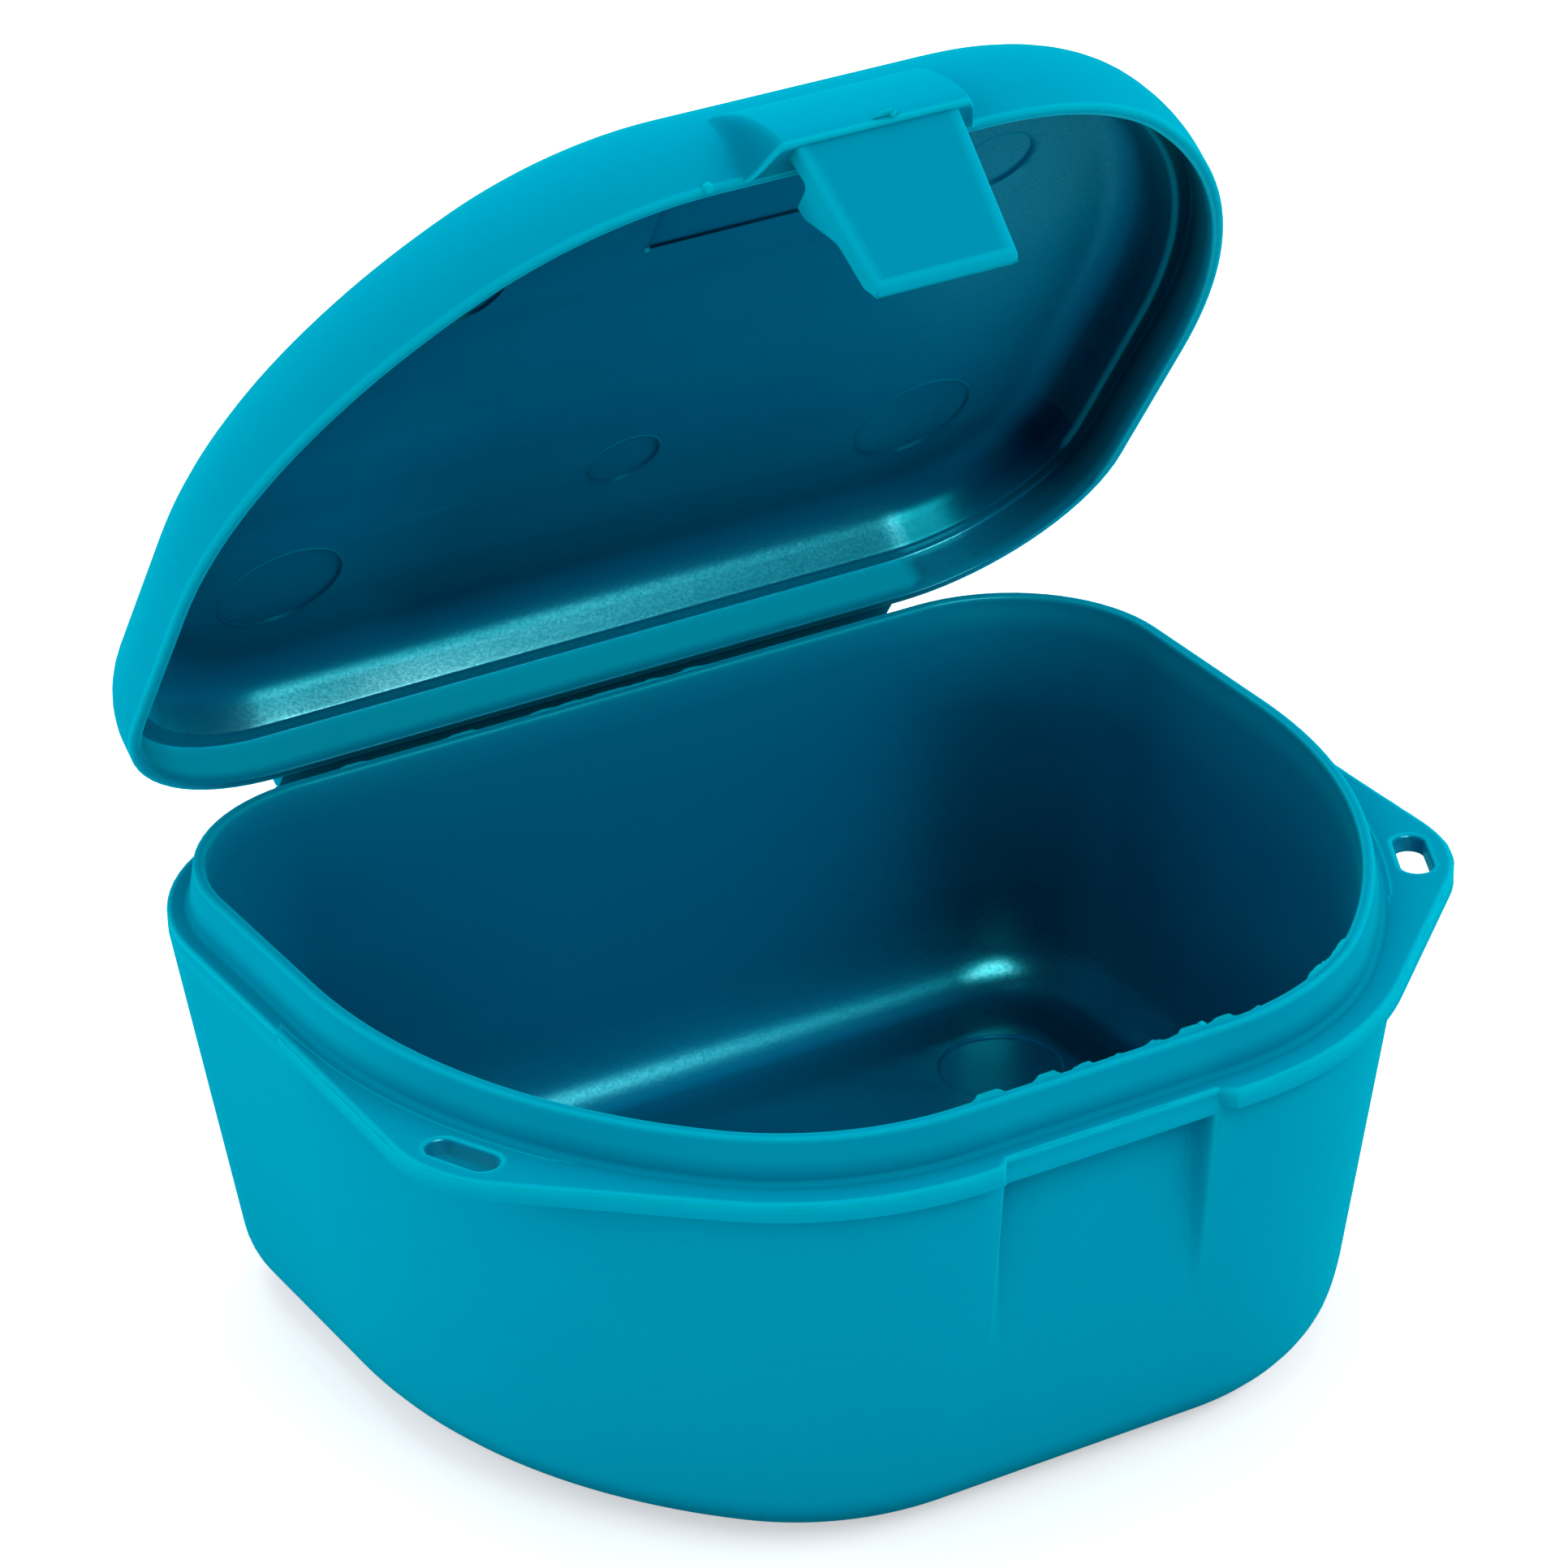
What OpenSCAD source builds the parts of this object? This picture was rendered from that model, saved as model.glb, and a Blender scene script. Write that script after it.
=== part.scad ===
// Retainer case: a drafted tub and a domed lid on a moulded strip hinge, closed by a snap tab.
// The case stands on z = 0 with its hinge along the back (+Y) and its latch at the front (-Y).

/* [Lip outline] */
// Width across the outside of the upstanding lip
lip_w = 76; // [66:1:92]
// Depth from the back of the lip to its front
lip_d = 63.6; // [54:0.2:78]
// Radius of the two back corners
back_r = 12.6; // [10:0.2:18]
// Radius of the long curve along each side
side_r = 43; // [34:1:56]
// Radius of the two front curves
front_r = 21.25; // [16:0.25:25]
// Length of the straight front that carries the latch
front_flat = 20; // [18.4:0.2:28]

/* [Tub] */
// Height of the shelf that the lid rim meets
shelf_h = 29.6; // [20:0.2:45]
// Height of the lip above the shelf
lip_h = 3.1; // [2:0.1:5]
// Thickness of the lip at its top
lip_t = 0.8; // [0.6:0.1:1.4]
// How far the foot of the lip stands outside its top
lip_lean = 0.5; // [0.2:0.1:0.8]
// Width of the shelf outside the lip
shelf_w = 1.5; // [1.2:0.1:3]
// Draft angle of the outer wall
draft = 8.8; // [4:0.2:11]
// Radius of the outer bottom edge
bottom_r = 5.6; // [3:0.2:8]
// Wall thickness near the floor
wall_t = 1.9; // [1.4:0.1:2.4]
// Floor thickness
floor_t = 1.8; // [1.2:0.1:3]
// Radius between the inner wall and the floor
floor_r = 4; // [2:0.2:6]

/* [Rim flange] */
// Thickness of the flange and of the upright band behind it
flange_t = 1.3; // [1:0.1:1.8]
// Overhang of the flange beyond the band
flange_w = 0.95; // [0.6:0.05:2]
// Flange left outside the slot
ear_web = 1.6; // [1:0.1:3]
// Radius of the ear tip
ear_r = 10; // [6:0.5:12]
// Length of the lanyard slot
slot_l = 5.4; // [4:0.2:8]
// Width of the lanyard slot
slot_w = 2.2; // [1.4:0.1:3]
// Flange left between the slot and the band
slot_gap = 0.25; // [0.2:0.05:1]
// Place of the slot along the side curve, as a share of it from the back
slot_at = 0.545; // [0.4:0.005:0.65]
// Size of the chamfer round the slot
slot_chamfer = 0.35; // [0.1:0.05:0.6]

/* [Latch recess] */
// Clear width between the two flange ends
recess_w = 16.2; // [14.6:0.2:18]
// Slant of each flange end
recess_slant = 0.8; // [0.2:0.1:1.4]
// Depth of the panel behind the band at its top
panel_depth = 2.3; // [1.2:0.1:2.6]
// Width of the panel
panel_w = 14.4; // [13:0.2:16]
// Thickness of the edge that the hook catches
catch_t = 1.9; // [1.4:0.1:3]

/* [Lid] */
// Height of the lid top above the shelf
lid_h = 9.2; // [7:0.1:14]
// Thickness of the lid top
lid_t = 1.6; // [1.2:0.1:2.2]
// Inset of the lid rim from the outer wall
lid_inset = 0.35; // [0:0.05:0.6]
// Height of the upright band above the rim
lid_band = 1.6; // [1.4:0.1:3]
// Clearance between the lid mouth and the foot of the lip
mouth_gap = 0.25; // [0.15:0.05:0.4]
// Clearance between the closed rim and the shelf
rim_gap = 0.25; // [0.15:0.05:0.5]
// Clearance between the lip top and the step inside the lid
step_gap = 0.3; // [0.2:0.05:0.6]
// Width of the step inside the lid
step_w = 1.35; // [0.8:0.05:1.8]
// Radius between the inner wall and the lid top
lid_inner_r = 3.4; // [2:0.2:3.8]

/* [Mould marks] */
// Radius of the round marks at the back of the lid and on the floor
mark_r = 4.8; // [3:0.1:6]
// Radius of the front lid marks
front_mark_r = 3.4; // [2:0.1:4.5]
// Depth of the marks
mark_depth = 0.15; // [0.05:0.05:0.3]
// Place of the front lid marks along the side curve, as a share of it from the back
mark_at = 0.83; // [0.6:0.01:0.95]
// Distance of the front lid marks inside the lip
mark_inset = 10.9; // [9:0.1:16]
// How far the floor marks lie inside the centres of the back corners
floor_mark_in = 2.6; // [0:0.1:8]
// Radius of the gate mark inside the lid top
gate_r = 3; // [2:0.1:4]
// Distance of the gate mark inside the back of the lip
gate_in = 18; // [14:0.5:24]
// Width of the shallow pad inside the lid, behind the latch
pad_w = 13; // [10:0.2:16]
// Length of the pad, front to back
pad_l = 10; // [6:0.5:12]
// Distance of the pad inside the front of the lip
pad_in = 7.2; // [6:0.2:10]

/* [Hinge] */
// Length of the hinge strips
hinge_l = 50; // [30:0.5:50.8]
// Distance of the hinge line behind the outer wall
hinge_reach = 1.9; // [1.4:0.1:3]
// Height of the hinge line above the shelf
hinge_rise = 0.3; // [0.2:0.05:0.8]
// Thickness of each strip
strip_t = 0.9; // [0.6:0.05:1.2]
// Distance between each strip's inner face and the hinge line
strip_gap = 0.15; // [0.1:0.05:0.25]
// Radius of the flexible web along the hinge line
web_r = 0.45; // [0.35:0.05:0.6]
// Running clearance round the web and the tab root
flex_gap = 0.08; // [0.03:0.01:0.1]
// Angle at which the lid stands open
lid_open = 54.6; // [20:0.2:110]

/* [Latch boss and tab] */
// How far the boss edge stands out from the lid rim
boss_out = 3.75; // [3.4:0.05:5]
// Width of the boss where it leaves the lid
boss_w = 16; // [15:0.2:18]
// Width of the boss at its outer edge
boss_edge_w = 13.4; // [12.8:0.2:14.4]
// Radius of the curved boss face
boss_r = 11.8; // [10:0.2:16]
// Slope of the boss face at its edge
boss_slope = 22; // [10:1:30]
// Inset of the tab face from the boss edge
tab_inset = 0.3; // [0.1:0.05:0.6]
// Tab thickness at its root
tab_t = 1.6; // [1.2:0.1:1.8]
// Tab thickness at its tip
tab_tip_t = 1.4; // [0.8:0.1:1.8]
// Tab length below the boss
tab_l = 11.4; // [9:0.2:16]
// Tab width at its root
tab_w = 12.1; // [10:0.1:12.4]
// Tab width at its tip
tab_tip_w = 10.4; // [8:0.1:12]
// How far the tip leans towards the wall
tab_lean = 0.9; // [0:0.1:1.4]
// How far the hook reaches under the catch
hook_bite = 0.75; // [0.4:0.05:1]
// Clearance between the hook and the catch
hook_gap = 0.3; // [0.2:0.05:0.6]
// Height of the hook nose
hook_nose = 1.1; // [0.8:0.1:2]
// Length of the ramp below the hook nose
hook_ramp = 3.2; // [2:0.1:5]

/* [Hidden] */
$fn = 96;
teal = "#00A3C4";
deep_teal = "#0090B2";

// Far enough past any face to cut clean through, and the laps where solids are joined
over = 20;
lap = 0.5;
lap_turn = 5;
seam = 0.002;

// Blended lines run this far inside the curve they leave
ease = 0.005;

// Arc centres of the right half of the lip outline, back to front
half_w = lip_w / 2;
half_d = lip_d / 2;
back_c = [half_w - back_r, half_d - back_r];
front_c = [front_flat / 2, front_r - half_d];
curve_dx = front_c.x - half_w + side_r;
curve_dy = sqrt(pow(side_r - front_r, 2) - pow(curve_dx, 2));
side_c = [half_w - side_r, front_c.y + curve_dy];
turn = atan2(curve_dy, curve_dx);

// Offsets from the lip outline, outwards positive
wall_off = lip_lean + shelf_w;
flange_off = wall_off + flange_w;
lid_off = wall_off - lid_inset;
mouth_off = lip_lean + mouth_gap;
step_off = mouth_off - step_w;
boss_off = lid_off + boss_out;
hinge_off = wall_off + hinge_reach;

// Heights
band_z = shelf_h - flange_t;
lip_top = shelf_h + lip_h;
rim_z = shelf_h + rim_gap;
lid_band_z = rim_z + lid_band;
step_z = lip_top + step_gap;
lid_top = shelf_h + lid_h;
lid_inner_z = lid_top - lid_t;
hinge_z = shelf_h + hinge_rise;

// Tub wall section: drafted outer line, inner line and the centres of both bottom curves
foot_off = wall_off - band_z * tan(draft);
bottom_c = [wall_off - (band_z - bottom_r) * tan(draft) - bottom_r / cos(draft), bottom_r];
inner_foot = foot_off - wall_t;
inner_slope = atan((-lip_t - inner_foot) / lip_top);
floor_cz = floor_t + floor_r;
floor_c = [-lip_t - (lip_top - floor_cz) * tan(inner_slope) - floor_r / cos(inner_slope), floor_cz];
floor_off = min(bottom_c.x, floor_c.x) - 2 * lap;

// Lid section
lid_r = lid_top - lid_band_z;
lid_core_off = lid_off - lid_r - 2 * lap;

// Boss face: one arc that leaves the edge at the stated slope
boss_c = [boss_off - boss_r * cos(boss_slope), rim_z - boss_r * sin(boss_slope)];

// Tab root: a round bead just below the boss
tab_r = tab_t / 2;
tab_drop = 0.22 * tab_t;
tab_c = [boss_off - tab_inset - tab_r, rim_z - tab_drop];
hook_z = shelf_h - catch_t - hook_gap;
hook_off = wall_off - hook_bite;
hook_edge = 0.25 * hook_nose;

function dir(a) = [cos(a), sin(a)];

// Sector of a circle between two angles under 180 degrees apart
module pie(centre, r, from, to) {
    mid = (from + to) / 2;
    intersection() {
        translate(centre) circle(r);
        polygon([centre, centre + 2 * r * dir(from), centre + 2 * r * dir(mid), centre + 2 * r * dir(to)]);
    }
}

// Plan areas of the side curve and of the front curve, parted along the line through both centres
module side_area() {
    far = side_c + 6 * [curve_dx, -curve_dy];
    polygon([side_c, far, [far.x + over, far.y], [far.x + over, side_c.y]]);
}

module front_area() {
    far = side_c + 6 * [curve_dx, -curve_dy];
    polygon([front_c, far, [front_c.x, far.y]]);
}

// Both mirrored halves of what it is given
module both() {
    children();
    mirror([1, 0, 0]) children();
}

// Plate in the shape of the lip outline moved outwards by off
module plate(off, height) {
    meet = side_c + (side_r + off - ease) / (side_r - front_r) * [curve_dx, -curve_dy];
    half = [[back_c.x, half_d + off], [half_w + off, back_c.y], [half_w + off, side_c.y], meet,
            [front_c.x, -half_d - off]];
    other = [for (i = [len(half) - 1:-1:0]) [-half[i].x, half[i].y]];
    linear_extrude(height) polygon(concat(half, other));
    both() {
        linear_extrude(height) intersection() {
            translate(back_c) circle(back_r + off);
            translate(back_c) square(back_r + over);
        }
        linear_extrude(height) intersection() {
            translate(side_c) circle(side_r + off);
            side_area();
        }
        linear_extrude(height) intersection() {
            translate(front_c) circle(front_r + off);
            front_area();
        }
    }
}

// Straight run of a section: x of the section points outwards, y points up
module run_back(length) {
    translate([-length / 2, half_d, 0]) rotate([90, 0, 90]) linear_extrude(length) children();
}

module run_front(length) {
    translate([length / 2, -half_d, 0]) rotate([90, 0, -90]) linear_extrude(length) children();
}

// Section carried once round the lip outline, on true arcs and straights
module around() {
    tall = shelf_h + lid_h + over;
    run_back(2 * (back_c.x + seam)) children();
    run_front(front_flat + 2 * seam) children();
    both() {
        translate(back_c) rotate_extrude(angle = 90) translate([back_r, 0]) children();
        translate([half_w, back_c.y + seam, 0]) rotate([90, 0, 0])
            linear_extrude(back_c.y - side_c.y + 2 * seam) children();
        intersection() {
            translate(side_c) rotate(-90) rotate_extrude(angle = 90) translate([side_r, 0]) children();
            translate([-seam, -seam, -lap]) linear_extrude(tall) side_area();
        }
        intersection() {
            translate(front_c) rotate(-90) rotate_extrude(angle = 90) translate([front_r, 0]) children();
            translate([0, 0, -lap]) linear_extrude(tall) front_area();
        }
    }
}

// Lid parts are drawn closed and swung open about the hinge line
module swing_open() {
    translate([0, half_d + hinge_off, hinge_z]) rotate([-lid_open, 0, 0])
        translate([0, -half_d - hinge_off, -hinge_z]) children();
}

// Wall section of the tub: shelf, lip, drafted wall, round bottom edge and floor fillet
module tub_section() {
    difference() {
        union() {
            polygon([[floor_off, 0], [bottom_c.x, 0], bottom_c + (bottom_r - ease) * dir(-draft),
                     [wall_off, band_z], [wall_off, shelf_h], [lip_lean, shelf_h], [0, lip_top],
                     [floor_off, lip_top]]);
            pie(bottom_c, bottom_r, -90, lap_turn - draft);
        }
        union() {
            polygon([[floor_off - lap, floor_t], [floor_c.x, floor_t],
                     floor_c + (floor_r - ease) * dir(-inner_slope), [-lip_t, lip_top],
                     [-lip_t, lip_top + lap], [floor_off - lap, lip_top + lap]]);
            pie(floor_c, floor_r, -90, lap_turn - inner_slope);
        }
    }
}

// Panel cut into the front wall under the catch, open to the front
module latch_panel() {
    panel_y = half_d + wall_off - panel_depth;
    lip_x = panel_w / 2 + panel_depth / 3;
    linear_extrude(shelf_h - catch_t)
        polygon([[-panel_w / 2, -panel_y], [panel_w / 2, -panel_y], [lip_x, -panel_y - panel_depth],
                 [lip_x, -panel_y - over], [-lip_x, -panel_y - over], [-lip_x, -panel_y - panel_depth]]);
}

module base_tub() {
    color(teal) difference() {
        union() {
            around() tub_section();
            plate(floor_off + lap, floor_t);
        }
        latch_panel();
        both() translate([back_c.x - floor_mark_in, back_c.y - floor_mark_in, floor_t - mark_depth])
            cylinder(r = mark_r, h = floor_t);
    }
}

// Direction of the line that touches two circles on one side of both
function touch(c1, r1, c2, r2, side) =
    atan2(c2.y - c1.y, c2.x - c1.x) + side * acos((r1 - r2) / norm(c2 - c1));

// Ear plate: a round tip outside the slot, joined to the side wall and the front curve by tangent lines
slot_x = side_r + wall_off + slot_gap + slot_w / 2;
ear_c = side_c + (slot_x + slot_w / 2 + ear_web - ear_r) * dir(-slot_at * turn);
ear_side = touch(side_c, side_r + wall_off, ear_c, ear_r, 1);
ear_front = touch(front_c, front_r + flange_off, ear_c, ear_r, -1);

module ear() {
    linear_extrude(flange_t)
        polygon([side_c, side_c + (side_r + wall_off) * dir(ear_side), ear_c + (ear_r - ease) * dir(ear_side),
                 ear_c + (ear_r - ease) * dir(ear_front),
                 front_c + (front_r + flange_off - ease) * dir(ear_front), front_c]);
    translate(ear_c) cylinder(r = ear_r, h = flange_t);
}

// Lanyard slot with a chamfered top edge, lying along the side curve
module lanyard_slot() {
    run = slot_l - slot_w;
    wide = slot_w / 2 + slot_chamfer;
    translate([side_c.x, side_c.y, 0]) rotate(-slot_at * turn) translate([slot_x, 0, 0]) {
        for (side = [-1, 1]) translate([0, side * run / 2, 0]) {
            translate([0, 0, band_z - lap]) cylinder(d = slot_w, h = flange_t + 2 * lap);
            translate([0, 0, shelf_h - slot_chamfer])
                cylinder(r1 = slot_w / 2, r2 = wide, h = slot_chamfer);
        }
        translate([-slot_w / 2, -run / 2, band_z - lap]) cube([slot_w, run, flange_t + 2 * lap]);
        translate([0, run / 2, shelf_h]) rotate([90, 0, 0]) linear_extrude(run)
            polygon([[-wide, 0], [-slot_w / 2, -slot_chamfer], [slot_w / 2, -slot_chamfer], [wide, 0]]);
    }
}

// Right half of the front flange with its ear, from the latch recess to the side wall
module flange() {
    end_x = recess_w / 2;
    leave_y = front_c.y + (front_r + flange_off) * sin(ear_front) + 4 * lap;
    color(teal) difference() {
        translate([0, 0, band_z]) {
            intersection() {
                plate(flange_off, flange_t);
                linear_extrude(flange_t)
                    polygon([[end_x, leave_y], [half_w, leave_y], [half_w, -half_d - over],
                             [end_x + recess_slant, -half_d - over],
                             [end_x + recess_slant, -half_d - flange_off], [end_x, -half_d - wall_off]]);
            }
            ear();
        }
        translate([0, 0, band_z - lap]) plate(wall_off, flange_t + 2 * lap);
        lanyard_slot();
    }
}

module right_flange() {
    flange();
}

module left_flange() {
    mirror([1, 0, 0]) flange();
}

// Hinge strips: one on the back wall, one on the lid rim, each stopping short of the hinge line
module strip_section(root, low, clear) {
    difference() {
        translate([root, low]) square([hinge_off - root - web_r / 2, strip_t]);
        translate([hinge_off, hinge_z]) circle(web_r + clear);
    }
}

module base_hinge_strip() {
    color(teal) run_back(hinge_l) strip_section(wall_off, hinge_z - strip_gap - strip_t, 0);
}

module lid_hinge_strip() {
    color(teal) swing_open() run_back(hinge_l) strip_section(lid_off, hinge_z + strip_gap, flex_gap);
}

// Flexible web along the hinge line
module hinge_web() {
    color(deep_teal) translate([-hinge_l / 2, half_d + hinge_off, hinge_z]) rotate([0, 90, 0])
        cylinder(r = web_r, h = hinge_l);
}

// Outer form of the lid: upright band and a quarter-round shoulder
module lid_outer_section() {
    difference() {
        translate([lid_core_off, rim_z]) square([lid_off - lid_core_off, lid_top - rim_z]);
        difference() {
            translate([lid_off - lid_r, lid_band_z]) square(lid_r + lap);
            translate([lid_off - lid_r, lid_band_z]) circle(lid_r);
        }
    }
}

// Space inside the lid: mouth round the lip, step, and a rounded inner top
module lid_inner_section() {
    left = lid_core_off - lap;
    shoulder = [step_off - lid_inner_r, lid_inner_z - lid_inner_r];
    difference() {
        polygon([[left, rim_z - lap], [mouth_off, rim_z - lap], [mouth_off, step_z], [step_off, step_z],
                 [step_off, lid_inner_z], [left, lid_inner_z]]);
        difference() {
            translate(shoulder) square(lid_inner_r + lap / 2);
            translate(shoulder) circle(lid_inner_r);
        }
    }
}

// Ejector marks, gate mark and pad, all sunk into the inside of the lid top
module lid_marks() {
    front_mark = side_c + (side_r - mark_inset) * dir(-mark_at * turn);
    both() for (mark = [[back_c, mark_r], [front_mark, front_mark_r]])
        translate([mark[0].x, mark[0].y, lid_inner_z - lap]) cylinder(r = mark[1], h = lap + mark_depth);
    translate([0, half_d - gate_in, lid_inner_z - lap]) cylinder(r = gate_r, h = lap + mark_depth);
    translate([-pad_w / 2, pad_in - half_d, lid_inner_z - lap]) cube([pad_w, pad_l, lap + mark_depth]);
}

module lid_shell() {
    color(teal) swing_open() difference() {
        union() {
            around() difference() {
                lid_outer_section();
                lid_inner_section();
            }
            translate([0, 0, lid_inner_z]) plate(lid_core_off + lap, lid_t);
        }
        lid_marks();
    }
}

// Boss on the lid front: a curved face running out on the lid shoulder, with flared flanks
module boss_plan() {
    edge_y = half_d + boss_off;
    root_y = half_d + lid_off;
    polygon([[-boss_w / 2, -half_d + over], [boss_w / 2, -half_d + over], [boss_w / 2, -root_y],
             [boss_edge_w / 2, -edge_y], [-boss_edge_w / 2, -edge_y], [-boss_w / 2, -root_y]]);
}

module latch_boss() {
    groove_w = tab_w + 2 * hook_gap;
    color(teal) swing_open() difference() {
        intersection() {
            run_front(boss_w) difference() {
                intersection() {
                    translate(boss_c) circle(boss_r);
                    translate([lid_off - lid_r, rim_z]) square([lid_r + boss_out + lap, lid_r + lid_band]);
                }
                lid_outer_section();
            }
            translate([0, 0, rim_z - lap]) linear_extrude(lid_h) boss_plan();
        }
        run_front(groove_w) translate(tab_c) circle(tab_r + flex_gap);
    }
}

// Tab seen from the side: round root, neck, hook, ramp and rounded tip
module tab_body() {
    tip_r = tab_tip_t / 2;
    tip_c = [tab_c.x + tab_r - tab_lean - tip_r, rim_z - tab_l + tip_r];
    face = dir(-atan(tab_lean / tab_l));
    run_front(tab_w)
        polygon([tab_c + (tab_r - ease) * face, tip_c + (tip_r - ease) * face, tip_c - (tip_r - ease) * face,
                 [tip_c.x - 0.7 * tip_r, hook_z - hook_nose - hook_ramp], [hook_off, hook_z - hook_nose],
                 [hook_off, hook_z - hook_edge], [hook_off + hook_edge, hook_z],
                 [tab_c.x - tab_r + ease, hook_z],
                 [tab_c.x - tab_r + ease, tab_c.y]]);
    run_front(tab_w) translate(tab_c) circle(tab_r);
    run_front(tab_w) translate(tip_c) circle(tip_r);
}

module latch_tab() {
    top_z = tab_c.y + tab_r;
    color(deep_teal) swing_open() intersection() {
        tab_body();
        translate([0, 0, rim_z]) rotate([90, 0, 0]) linear_extrude(half_d + boss_off)
            polygon([[-tab_w / 2, top_z], [tab_w / 2, top_z], [tab_w / 2, -tab_drop],
                     [tab_tip_w / 2, -tab_l], [-tab_tip_w / 2, -tab_l], [-tab_w / 2, -tab_drop]]);
    }
}

base_tub();
left_flange();
right_flange();
base_hinge_strip();
hinge_web();
lid_hinge_strip();
lid_shell();
latch_boss();
latch_tab();
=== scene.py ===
from math import acos, atan2, cos, exp, pi, radians, sin, sqrt, tan

import bmesh
import bpy
from mathutils import Matrix, Vector, noise


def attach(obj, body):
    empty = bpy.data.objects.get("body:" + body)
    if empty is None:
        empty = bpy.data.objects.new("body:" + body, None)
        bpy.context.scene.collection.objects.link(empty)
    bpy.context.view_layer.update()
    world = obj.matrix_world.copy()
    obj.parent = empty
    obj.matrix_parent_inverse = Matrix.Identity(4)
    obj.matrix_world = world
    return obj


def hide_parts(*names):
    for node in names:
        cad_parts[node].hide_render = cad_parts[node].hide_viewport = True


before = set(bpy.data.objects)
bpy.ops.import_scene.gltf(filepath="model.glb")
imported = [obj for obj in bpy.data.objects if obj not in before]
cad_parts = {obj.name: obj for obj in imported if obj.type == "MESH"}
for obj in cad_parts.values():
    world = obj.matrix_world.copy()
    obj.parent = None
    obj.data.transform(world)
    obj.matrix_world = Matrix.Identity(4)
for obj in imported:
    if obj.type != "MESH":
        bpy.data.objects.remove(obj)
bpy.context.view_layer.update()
mm = 0.001  # every size below is in millimetres, meshes are scaled on the way out
print("frame loaded", len(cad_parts), "nodes")

# shared outline of the lip, seen from above
lip = {
    "width": 76.0,
    "depth": 63.6,
    "backRadius": 12.6,
    "sideRadius": 43.0,
    "frontRadius": 21.25,
    "frontFlat": 20.0,
    "backParts": (0.5, 0.14, 0.12, 0.12, 0.12),  # shares of half the back, finer towards the corner
    "cornerSteps": 18,
    "sideSteps": 26,
    "frontSteps": 20,
}
halfW, halfD = lip["width"] / 2, lip["depth"] / 2
backC = Vector((halfW - lip["backRadius"], halfD - lip["backRadius"], 0))
frontC = Vector((lip["frontFlat"] / 2, lip["frontRadius"] - halfD, 0))
curveX = frontC.x - halfW + lip["sideRadius"]
curveY = sqrt((lip["sideRadius"] - lip["frontRadius"]) ** 2 - curveX ** 2)
sideC = Vector((halfW - lip["sideRadius"], frontC.y + curveY, 0))
sideTurn = atan2(curveY, curveX)
hinge = {"y": halfD + 3.9, "z": 29.9, "open": radians(54.6)}
swing = (
    Matrix.Translation((0, hinge["y"], hinge["z"]))
    @ Matrix.Rotation(-hinge["open"], 4, "X")
    @ Matrix.Translation((0, -hinge["y"], -hinge["z"]))
)


def ramp(value, start, run):  # 0 at the start, 1 after the run
    return min(1, max(0, (value - start) / run))


# shader sockets that can be added, multiplied and so on
class Sock:
    def __init__(self, tree, socket):
        self.tree, self.socket = tree, socket

    def node(self, kind, settings=None, **sockets):
        made = self.tree.nodes.new(kind)
        for key, value in (settings or {}).items():
            if key == "stops":
                for i, (place, colour) in enumerate(value):
                    stop = made.color_ramp.elements[i] if i < 2 else made.color_ramp.elements.new(place)
                    stop.position, stop.color = place, colour
            else:
                setattr(made, key, value)
        for key, value in sockets.items():
            numbered = key[0] == "i" and key[1:].isdigit()
            target = made.inputs[int(key[1:]) if numbered else key.replace("_", " ")]
            if isinstance(value, Sock):
                self.tree.links.new(value.socket, target)
            else:
                target.default_value = value
        return made

    def get(self, kind, out=0, settings=None, **sockets):
        return Sock(self.tree, self.node(kind, settings, **sockets).outputs[out])

    def math(self, operation, a, b=0.0):
        return self.get("ShaderNodeMath", 0, {"operation": operation}, i0=a, i1=b)

    def __add__(self, other):
        return self.math("ADD", self, other)

    def __radd__(self, other):
        return self.math("ADD", other, self)

    def __sub__(self, other):
        return self.math("SUBTRACT", self, other)

    def __rsub__(self, other):
        return self.math("SUBTRACT", other, self)

    def __mul__(self, other):
        return self.math("MULTIPLY", self, other)

    def clamp(self):
        return self.get("ShaderNodeClamp", 0, None, i0=self)

    def blend(self, dark, light):
        return self.get("ShaderNodeMix", 2, {"data_type": "RGBA"}, i0=self, i6=dark, i7=light)


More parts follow.
